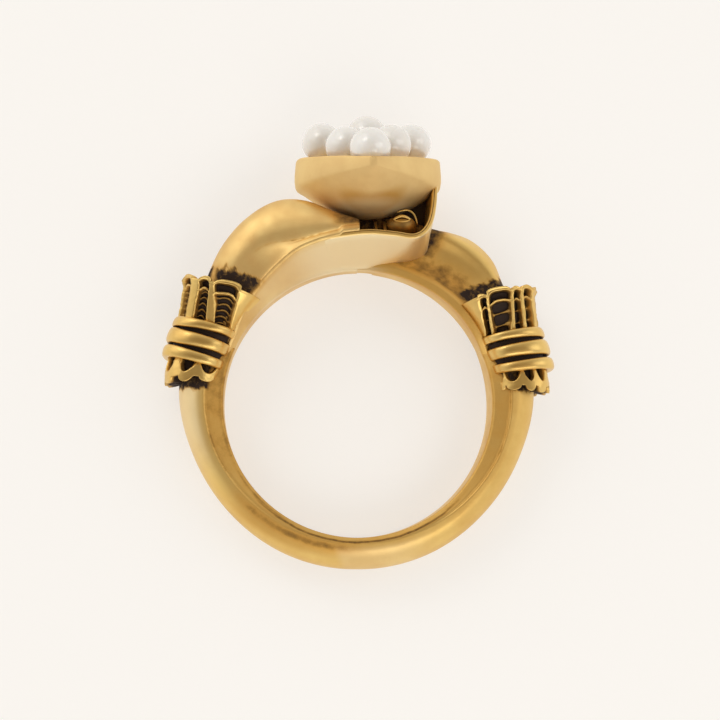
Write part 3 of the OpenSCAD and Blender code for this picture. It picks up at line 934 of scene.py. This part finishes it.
class RING_OT_cuffs(bpy.types.Operator):
    """Build both shoulder cuffs with their flutes, ladders of ribs and lower ruffles"""

    bl_idname = "ring.cuffs"
    bl_label = "Shoulder cuffs"

    def execute(self, context):
        left = build_cuff("cuff_left", math.degrees(sizes().cuff_turn_left), 1.0,
                          FLUTES_LEFT, False)
        right = build_cuff("cuff_right", math.degrees(sizes().cuff_turn_right), 4.0,
                           FLUTES_RIGHT, True)
        mirrored(right)
        for piece in (left, right):
            finish_piece(piece, material_named("gold_cast"), "gold")
        return {"FINISHED"}


class RING_OT_wires(bpy.types.Operator):
    """Build the three binding wires of each cuff"""

    bl_idname = "ring.wires"
    bl_label = "Binding wires"

    def execute(self, context):
        left = build_wires("wires_left", math.degrees(sizes().cuff_turn_left), 2.0, 0)
        right = build_wires("wires_right", math.degrees(sizes().cuff_turn_right), 5.0, 1)
        mirrored(right)
        for piece in (left, right):
            finish_piece(piece, material_named("gold_cast"), "gold")
        return {"FINISHED"}


def arm_outline(row):
    """Section of an arm as (radius, height) points, from the finger side round the back."""
    bore = sizes().bore_radius / MM
    edge, crease, crest, ridge, valley, back = [
        Vector((row[k], row[k + 1])) for k in (1, 3, 5, 7, 9, 11)]
    share = FLARE_UNDER / (edge.x - bore + FLARE_UNDER)
    flare = FLARE_START + share * (edge.y - FLARE_START)
    shoulder = edge + Vector((EDGE_T, 0.02))
    corners = [
        (bore, back.y + 0.1, True),
        (bore, flare, True),
        (edge.x, edge.y - 0.06, True),
        (edge.x + 0.07, edge.y, False),
        (shoulder.x - 0.08, shoulder.y + 0.02, False),
        (shoulder.x, shoulder.y - 0.03, False),
        ((shoulder.x + crease.x) / 2, (shoulder.y + crease.y) / 2 - 0.01, False),
        (crease.x, crease.y - 0.01, False),
    ]
    for k in (0.6, 1.2, 2, 3):
        turn = math.radians(30 * k)
        corners.append((crease.x + (crest.x - crease.x) * math.sin(turn),
                        crest.y + (crease.y - crest.y) * math.cos(turn), False))
    corners += [
        ((crest.x * 2 + ridge.x) / 3 + 0.05, (crest.y + ridge.y) / 2, False),
        (ridge.x, ridge.y, False),
        ((ridge.x + valley.x) / 2, (ridge.y + valley.y) / 2 + 0.12, False),
        (valley.x, valley.y, False),
        ((valley.x + back.x) / 2, (valley.y + back.y) / 2 + 0.12, False),
        (back.x, back.y, True),
    ]
    return smooth_loop(corners, 6)


def build_arm(name, rows, sunk):
    """An arm as a lofted form. Its end lies behind the ribbon, and its finger side sunk mm."""
    ascending = rows[::-1]
    first, last = rows[0][0], rows[-1][0]
    rings = []
    for k in range(ARM_STEPS + 1):
        turn = first + (last - first) * k / ARM_STEPS
        behind = 0.16 * ramp(97.0 - turn, 0, 1.5)
        inside = sunk * ramp(100 - turn, 0, 6)
        rings.append([polar(p.x + behind * ramp(p.y, 0.5, 0.9) * ramp(11.2 - p.x, 0, 0.4)
                            + inside * ramp(8.6 - p.x, 0, 0.09), turn, p.y)
                      for p in arm_outline(row_at(ascending, turn))])
    return wrap_grid(name, rings)


class RING_OT_arms(bpy.types.Operator):
    """Build the near arm and the far arm that bypass each other under the bezel"""

    bl_idname = "ring.arms"
    bl_label = "Bypassing arms"

    def execute(self, context):
        near = build_arm("arm_near", NEAR_ARM_ROWS, 0)
        far = build_arm("arm_far", FAR_ARM_ROWS, FAR_ARM_SUNK)
        pick(far)
        edit_all()
        bpy.ops.transform.rotate(value=math.pi, orient_axis="Y", center_override=(0, 0, 0))
        bpy.ops.object.mode_set(mode="OBJECT")

        def near_row(turn):
            return row_at(NEAR_ARM_ROWS[::-1], min(max(turn, 90), 152))

        def near_stain(co):
            """Oxide beside the cuff and along the crease, and painted shade under the bezel."""
            turn, r = round_hole(co)
            root = ramp(turn - 2.6 * (r - 11) + ragged(co), 131.5, 134.5) * ramp(r, 9.3, 9.8)
            root *= 0.35 + 0.65 * ramp(abs(co.z / MM - 1.62), 0.05, 0.3)
            line = ramp(0.07 - abs(r - near_row(turn)[3]), 0, 0.06) * ramp(turn, 98, 103)
            line *= ramp(128 - turn, 0, 8) * (0.5 + 0.9 * noise.noise(co / MM * 3))
            shade = ramp(101 - turn, 0, 7) * ramp(r, 10.9, 11.3)
            return max(root, 0.55 * line, 0.75 * shade) * ramp(co.z / MM, -0.6, 0.2)

        def far_stain(co):
            """Oxide in a cloudy strip and beside the cuff, and painted shade under the bezel."""
            turn, r = round_hole(co)
            cloud = noise.noise(co / MM * 1.2) + 0.6 * noise.noise(co / MM * 3.1)
            strip = ramp(r, 9.0 + 0.1 * cloud, 9.3 + 0.1 * cloud) * ramp(11.6 - r, 0, 1.9)
            strip *= ramp(turn, 30, 36) * ramp(88 - turn, 0, 8) * (0.5 + 0.3 * cloud)
            root = ramp(46 + ragged(co) - turn - 2.6 * (r - 11), 0, 3) * ramp(r, 9.1, 9.6)
            bezel_shade = ramp(turn, 60, 66) * ramp(r, 10.3, 10.6) * (0.85 + 0.2 * cloud)
            return max(strip, root, bezel_shade) * ramp(co.z / MM, -0.6, 0.2)

        def finger_side(co):
            """Painted reflection of the pale floor: paler gold on the near arm's side towards the
            finger.
            """
            turn, r = round_hole(co)
            share = ramp(156 - turn, 0, 30) * (0.8 - 0.4 * ramp(turn, 102, 122))
            return (ramp(near_row(turn)[1] + 0.03 - r, 0, 0.06) * ramp(co.z / MM, 0, 0.6)
                    * share)

        paint(near, "patina", near_stain)
        paint(near, "pale", lambda co: max(finger_side(co), 0.15))
        paint(near, "wear", lambda co: (1 - finger_side(co))
              * (0.5 + 0.6 * noise.noise(co / MM * 0.5) + 0.5 * noise.noise(co / MM * 1.7)))
        paint(far, "patina", far_stain)
        paint(far, "wear", lambda co: ramp(co.x / MM, 9.5, 7)
              * ramp(12.6 - round_hole(co)[1], 0, 1.2) * ramp(co.z / MM, 0, 1))
        # Painted reflection: paler gold along the far arm's edge at the finger hole
        paint(far, "pale", lambda co: 0.5 * ramp(8.8 - round_hole(co)[1], 0, 0.1)
              * ramp(2.5 - co.x / MM, 0, 2.5) * ramp(co.z / MM, 0, 0.5))
        for piece in (near, far):
            finish_piece(piece, material_named("gold_polished"), "gold")
        return {"FINISHED"}


class RING_OT_ribbon(bpy.types.Operator):
    """Build the ribbon that curls from the near arm up to the bezel"""

    bl_idname = "ring.ribbon"
    bl_label = "Curled ribbon"

    def execute(self, context):
        thick = sizes().ribbon_thickness / MM
        first, last = RIBBON_ROWS[0][0], RIBBON_ROWS[-1][0]
        rows = [row_at(RIBBON_ROWS, first + (last - first) * k / RIBBON_STEPS)
                for k in range(RIBBON_STEPS + 1)]
        near = [Vector(row[1:4]) for row in rows]
        far = [Vector(row[4:7]) for row in rows]

        def off(path, k):
            way = path[min(k + 1, RIBBON_STEPS)] - path[max(k - 1, 0)]
            return path[k] + Vector((-way.y, way.x, 0)).normalized() * thick

        rings = []
        for k in range(RIBBON_STEPS + 1):
            corners = [far[k], near[k], off(near, k), off(far, k)]
            ring = []
            for c in range(4):
                a, b = corners[c], corners[(c + 1) % 4]
                share = 0.04 if c in (0, 2) else 0.16
                ring += [a.lerp(b, share + (1 - 2 * share) * s / (RIBBON_SIDE - 1)) * MM
                         for s in range(RIBBON_SIDE)]
            rings.append(ring)
        # Painted reflection: pale on the face towards the finger; and painted shade in a dark
        # line along the near edge
        around = range(4 * RIBBON_SIDE)
        inner = [0.8 if i < RIBBON_SIDE else 0.0 for i in around]
        edge = [0.75 if RIBBON_SIDE + 4 <= i < RIBBON_SIDE + 6 else 0.0 for i in around]
        piece = wrap_grid("ribbon", rings, {"pale": [inner] * len(rings),
                                            "patina": [edge] * len(rings)})
        finish_piece(piece, material_named("gold_polished"), "gold")
        return {"FINISHED"}


def bezel_outline(row):
    """Half section of the bezel as (x, y) corners, from the keel up and over to the middle."""
    z, wide, rim, foot, keel = row
    hull = [(wide * u, foot - (foot - keel) * (1 - u ** HULL_POWER), False)
            for u in (k / 8 for k in range(9))]
    lip = sizes().rim_width / MM
    inside = max(wide - lip, 0.03)
    thin = min(lip, wide - inside)
    open_here = ramp(z, RECESS_BACK - 0.05, RECESS_BACK) * ramp(RECESS_TIP + 0.05 - z, 0, 0.05)
    rise = 1 if z < 0 else 1 - (z / FLOOR_TIP) ** 2
    wall = [
        (wide, rim - 0.14, False),
        (wide - 0.18 * thin, rim - 0.02, False),
        (wide - 0.5 * thin, rim, False),
        (wide - 0.82 * thin, rim - 0.02, False),
    ]
    floor = []
    for k in range(7):
        u = 1 - k / 6
        low = FLOOR_RISE * rise * (1 - u * u) - FLOOR_DROP
        floor.append((inside * u, rim + low * open_here, k == 0))
    return hull + wall + floor


class RING_OT_bezel(bpy.types.Operator):
    """Build the pointed tray that holds the pearls, with its keel underneath"""

    bl_idname = "ring.bezel"
    bl_label = "Bezel"

    def execute(self, context):
        middle = sizes().bezel_middle
        # Closest together at the tip, round the ends of the recess and at the back
        stations = [6.2 - 0.07 * k for k in range(14)] + [5.26, RECESS_TIP]
        stations += [5.13 - k * (5.13 + 1.55) / 90 for k in range(91)]
        stations += [RECESS_BACK, -1.65, -1.75, -1.85, -1.95, -2.04, -2.1]
        rings = []
        for z in stations:
            right = bezel_outline(row_at(BEZEL_ROWS, z))
            left = [(-x, y, sharp) for x, y, sharp in right[1:-1]]
            rings.append([Vector((p.x, p.y, z)) * MM + Vector((middle, 0, 0))
                          for p in smooth_loop(right + left[::-1], 4)])
        piece = wrap_grid("bezel", rings)

        def orange_reflection(co):
            """Painted orange reflection: warmer gold in a patch under the bezel, towards its tip.
            """
            across, down = (co.x / MM - 0.8) / 2.1, (co.z / MM - 3.2) / 1.3
            return ramp(1.15 - math.hypot(across, down), 0, 0.5) * ramp(14 - co.y / MM, 0, 0.4)

        paint(piece, "wear", orange_reflection)
        # Painted reflection: paler gold over the hull, most at its bottom, less in the orange
        # patch
        paint(piece, "pale", lambda co: 0.3 - 0.3 * orange_reflection(co)
              + 0.4 * ramp(12.9 - co.y / MM, 0, 0.6) * ramp(co.z / MM, -1, 1))
        finish_piece(piece, material_named("gold_satin"), "gold")
        return {"FINISHED"}


def tube(name, path, radius):
    """A thin wire along a path of points in mm, thinner towards its ends."""
    rings = []
    for k, (x, y, z) in enumerate(path):
        before, after = Vector(path[max(k - 1, 0)]), Vector(path[min(k + 1, len(path) - 1)])
        way = (after - before).normalized()
        side = way.cross(Vector((0, 0.3, 1))).normalized()
        up = side.cross(way)
        thin = radius * (0.55 + 0.45 * math.sin(math.pi * k / (len(path) - 1)) ** 0.5)
        rings.append([(Vector((x, y, z)) + (side * math.cos(a) + up * math.sin(a)) * thin) * MM
                      for a in (2 * math.pi * i / 12 for i in range(12))])
    return wrap_grid(name, rings)


def bow(start, middle, end):
    """Points on a smooth bow through three places."""
    a, b, c = Vector(start), Vector(middle), Vector(end)
    over = b * 2 - (a + c) / 2
    return [tuple(a * (1 - t) ** 2 + over * 2 * t * (1 - t) + c * t * t)
            for t in (i / BOW_STEPS for i in range(BOW_STEPS + 1))]


class RING_OT_scroll(bpy.types.Operator):
    """Build the bezel's foot and the small scroll in the hollow over the ribbon"""

    bl_idname = "ring.scroll"
    bl_label = "Foot and scroll"

    def execute(self, context):
        middle = sum((Vector(c) for c in FOOT_CORNERS), Vector((0, 0))) / len(FOOT_CORNERS)
        rings = []
        for z, share in FOOT_ROWS:
            corners = [(*(middle + (Vector(c) - middle) * share), False) for c in FOOT_CORNERS]
            rings.append([Vector((p.x, p.y, z)) * MM for p in smooth_loop(corners, 8)])
        foot = wrap_grid("bezel_foot", rings)
        # Painted shade: the foot is dark at its front, in the hollow under the bezel
        paint(foot, "patina", lambda co: ramp(co.z / MM, -0.7, -0.2))

        deselect_all()
        bpy.ops.mesh.primitive_uv_sphere_add(segments=48, ring_count=32, radius=MM)
        dome = bpy.context.active_object
        dome.name = "scroll"
        for vertex in dome.data.vertices:
            x, y, z = vertex.co / MM
            vertex.co = Vector(
                at + half * share
                for at, half, share in zip(DOME_AT, DOME_HALF, (signed_power(x, 0.85), y, z))
            ) * MM
        bpy.ops.object.shade_smooth()
        # Painted shade: the dome is darkened all over, most towards its top under the bezel's
        # hull
        paint(dome, "patina", lambda co: 0.4 + 0.25 * noise.noise(co / MM * 2)
              + 0.4 * ramp(co.y / MM, 11.6, 11.9))
        pieces = [dome] + [tube(name, bow(*places), radius)
                           for name, (*places, radius) in BOWS.items()]
        finish_piece(foot, material_named("gold_cast"), "gold")
        finish_piece(join(pieces, "scroll"), material_named("gold_cast"), "gold")
        return {"FINISHED"}


def seat_place(column, row, lift):
    """The middle of a pearl."""
    s = sizes()
    return Vector((s.bezel_middle + PEARLS_SHIFT * MM + column * s.pearl_pitch,
                   s.rim_height + lift * MM, row * s.row_pitch))


class RING_OT_pegs(bpy.types.Operator):
    """Build the pegs that the pearls are cemented on"""

    bl_idname = "ring.pegs"
    bl_label = "Pegs"

    def execute(self, context):
        pegs = []
        radius = sizes().pearl_diameter / 2
        for _, column, row, lift in PEARLS:
            deselect_all()
            at = seat_place(column, row, lift)
            foot = at.y - radius - PEG_BELOW * MM
            top = at.y - radius + PEG_INSIDE * MM
            bpy.ops.mesh.primitive_cylinder_add(
                vertices=32, radius=sizes().peg_diameter / 2, depth=top - foot,
                location=(at.x, (top + foot) / 2, at.z), rotation=(math.pi / 2, 0, 0))
            peg = bpy.context.active_object
            peg.modifiers.new("edge", "BEVEL").width = 0.06 * MM
            peg.modifiers["edge"].segments = 3
            apply_all(peg)
            pegs.append(peg)
        piece = join(pegs, "pegs")
        bpy.ops.object.shade_smooth_by_angle(angle=math.radians(35))
        finish_piece(piece, material_named("gold_satin"), "gold")
        return {"FINISHED"}


class RING_OT_pearls(bpy.types.Operator):
    """Build the six pearls, each a little out of round, with its drilled hole underneath"""

    bl_idname = "ring.pearls"
    bl_label = "Pearls"

    def execute(self, context):
        radius = sizes().pearl_diameter / 2
        for count, (node, column, row, lift) in enumerate(PEARLS):
            deselect_all()
            bpy.ops.mesh.primitive_uv_sphere_add(segments=64, ring_count=40, radius=radius,
                                                 rotation=(math.pi / 2, 0, 0))
            pearl = bpy.context.active_object
            pearl.name = node + "_nacre"
            bpy.ops.object.transform_apply(location=True, rotation=True, scale=True)
            bpy.ops.object.mode_set(mode="EDIT")
            bpy.ops.mesh.select_all(action="DESELECT")
            mesh = bmesh.from_edit_mesh(pearl.data)
            hole = sizes().peg_diameter / 2 + HOLE_PLAY * MM
            for face in mesh.faces:
                middle = face.calc_center_median()
                if middle.y < 0 and math.hypot(middle.x, middle.z) < hole:
                    face.select = True
            bmesh.update_edit_mesh(pearl.data)
            bpy.ops.mesh.extrude_region_move(
                TRANSFORM_OT_translate={"value": (0, HOLE_DEPTH * MM, 0)})
            bpy.ops.object.mode_set(mode="OBJECT")
            for vertex in pearl.data.vertices:
                co = vertex.co
                wave = noise.noise(co / MM * 0.55 + Vector((count * 7.0, 0, 0)))
                vertex.co = co * (1 - PEARL_WAVE * abs(wave) - PEARL_LESS)
            pearl.location = seat_place(column, row, lift)
            bpy.ops.object.transform_apply(location=True, rotation=True, scale=True)
            bpy.ops.object.shade_smooth_by_angle(angle=math.radians(50))
            finish_piece(pearl, material_named("nacre"), "pearl", node)
        return {"FINISHED"}


def soft_light(name, place, aim, size, power, colour):
    """An oblong lamp at a place, turned to its aim."""
    light = bpy.data.lights.new(name, "AREA")
    light.shape = "RECTANGLE"
    light.size, light.size_y = size
    light.energy = power
    light.color = colour
    lamp = bpy.data.objects.new(name, light)
    bpy.context.collection.objects.link(lamp)
    lamp.location = place
    lamp.rotation_euler = (Vector(aim) - Vector(place)).to_track_quat("-Z", "Y").to_euler()


class RING_OT_stage(bpy.types.Operator):
    """Set the pale floor, the soft lights and the camera"""

    bl_idname = "ring.stage"
    bl_label = "Stage"

    def execute(self, context):
        deselect_all()
        low_arm, low_shank = Vector(LOW_ARM) * MM, Vector(LOW_SHANK) * MM
        tilt = math.atan2(low_arm.z - low_shank.z, low_arm.y - low_shank.y)
        bpy.ops.mesh.primitive_grid_add(x_subdivisions=8, y_subdivisions=8, size=0.8,
                                        location=(low_arm + low_shank) / 2,
                                        rotation=(tilt, 0, 0))
        floor = bpy.context.active_object
        floor.name = "floor"
        bpy.ops.object.transform_apply(location=True, rotation=True, scale=True)
        material, shader, add, link = new_material("pale_surface")
        place = add("ShaderNodeTexCoord").outputs["Object"]
        patches = maths(add, "MULTIPLY", clouds(add, place, 60.0, 4.0), 0.4)
        pale = tuple(colours().floor)
        link(mixed(add, patches, pale, (pale[0] * 0.97, pale[1] * 0.965, pale[2] * 0.95, 1)),
             "Base Color")
        for socket, value in (("Roughness", 0.6), ("Specular IOR Level", 0.2),
                              ("Emission Color", (1, 0.975, 0.94, 1)),
                              ("Emission Strength", 0.57)):
            shader.inputs[socket].default_value = value
        bumped(add, link, 0.3, 0.02 * MM, clouds(add, place, 1500.0, 3.0))
        floor.data.materials.append(material)

        for light in LIGHTS:
            soft_light(*light)
        world = bpy.data.worlds.new("studio")
        context.scene.world = world
        world.use_nodes = True
        tree = world.node_tree
        back = tree.nodes["Background"]
        back.inputs["Strength"].default_value = 0.93
        way = tree.nodes.new("ShaderNodeTexCoord")
        part = tree.nodes.new("ShaderNodeSeparateXYZ")
        shade = tree.nodes.new("ShaderNodeValToRGB")
        tree.links.new(way.outputs["Generated"], part.inputs[0])
        tree.links.new(part.outputs["Z"], shade.inputs[0])
        tree.links.new(shade.outputs[0], back.inputs["Color"])
        stops = shade.color_ramp.elements
        for stop, (height, colour) in zip(stops, (STUDIO[0], STUDIO[-1])):
            stop.position, stop.color = height, colour
        for height, colour in STUDIO[1:-1]:
            stops.new(height).color = colour
        context.scene.view_settings.view_transform = "Standard"

        camera = bpy.data.cameras.new("camera")
        camera.sensor_width = 36
        camera.lens = CAMERA_LENS
        view = bpy.data.objects.new("camera", camera)
        context.collection.objects.link(view)
        eye = Vector(CAMERA_AT) * MM
        away = -Vector(CAMERA_WAY).normalized()
        right = Vector((0, 1, 0)).cross(away).normalized()
        turn = Matrix((right, away.cross(right), away)).transposed()
        view.matrix_world = Matrix.Translation(eye) @ turn.to_4x4()
        camera.clip_start = 0.005
        context.scene.camera = view
        return {"FINISHED"}


class RING_PT_panel(bpy.types.Panel):
    """The ring's pieces, sizes and colours in the sidebar"""

    bl_label = "Bypass ring"
    bl_idname = "RING_PT_panel"
    bl_space_type = "VIEW_3D"
    bl_region_type = "UI"
    bl_category = "Ring"

    def draw(self, context):
        for operator in OPERATORS:
            self.layout.operator(operator.bl_idname)
        for group in (context.scene.ring_sizes, context.scene.ring_colours):
            for name in group.__annotations__:
                self.layout.prop(group, name)


OPERATORS = (RING_OT_shank, RING_OT_cuffs, RING_OT_wires, RING_OT_arms, RING_OT_ribbon,
             RING_OT_bezel, RING_OT_scroll, RING_OT_pegs, RING_OT_pearls, RING_OT_stage)
CLASSES = (RingSizes, RingColours, *OPERATORS, RING_PT_panel)


def register():
    for cls in CLASSES:
        bpy.utils.register_class(cls)
    bpy.types.Scene.ring_sizes = PointerProperty(type=RingSizes)
    bpy.types.Scene.ring_colours = PointerProperty(type=RingColours)


def unregister():
    del bpy.types.Scene.ring_colours
    del bpy.types.Scene.ring_sizes
    for cls in reversed(CLASSES):
        bpy.utils.unregister_class(cls)


def main():
    register()
    bpy.ops.ring.shank()
    bpy.ops.ring.cuffs()
    bpy.ops.ring.wires()
    bpy.ops.ring.arms()
    bpy.ops.ring.ribbon()
    bpy.ops.ring.bezel()
    bpy.ops.ring.scroll()
    bpy.ops.ring.pegs()
    bpy.ops.ring.pearls()
    bpy.ops.ring.stage()


if __name__ == "__main__":
    main()
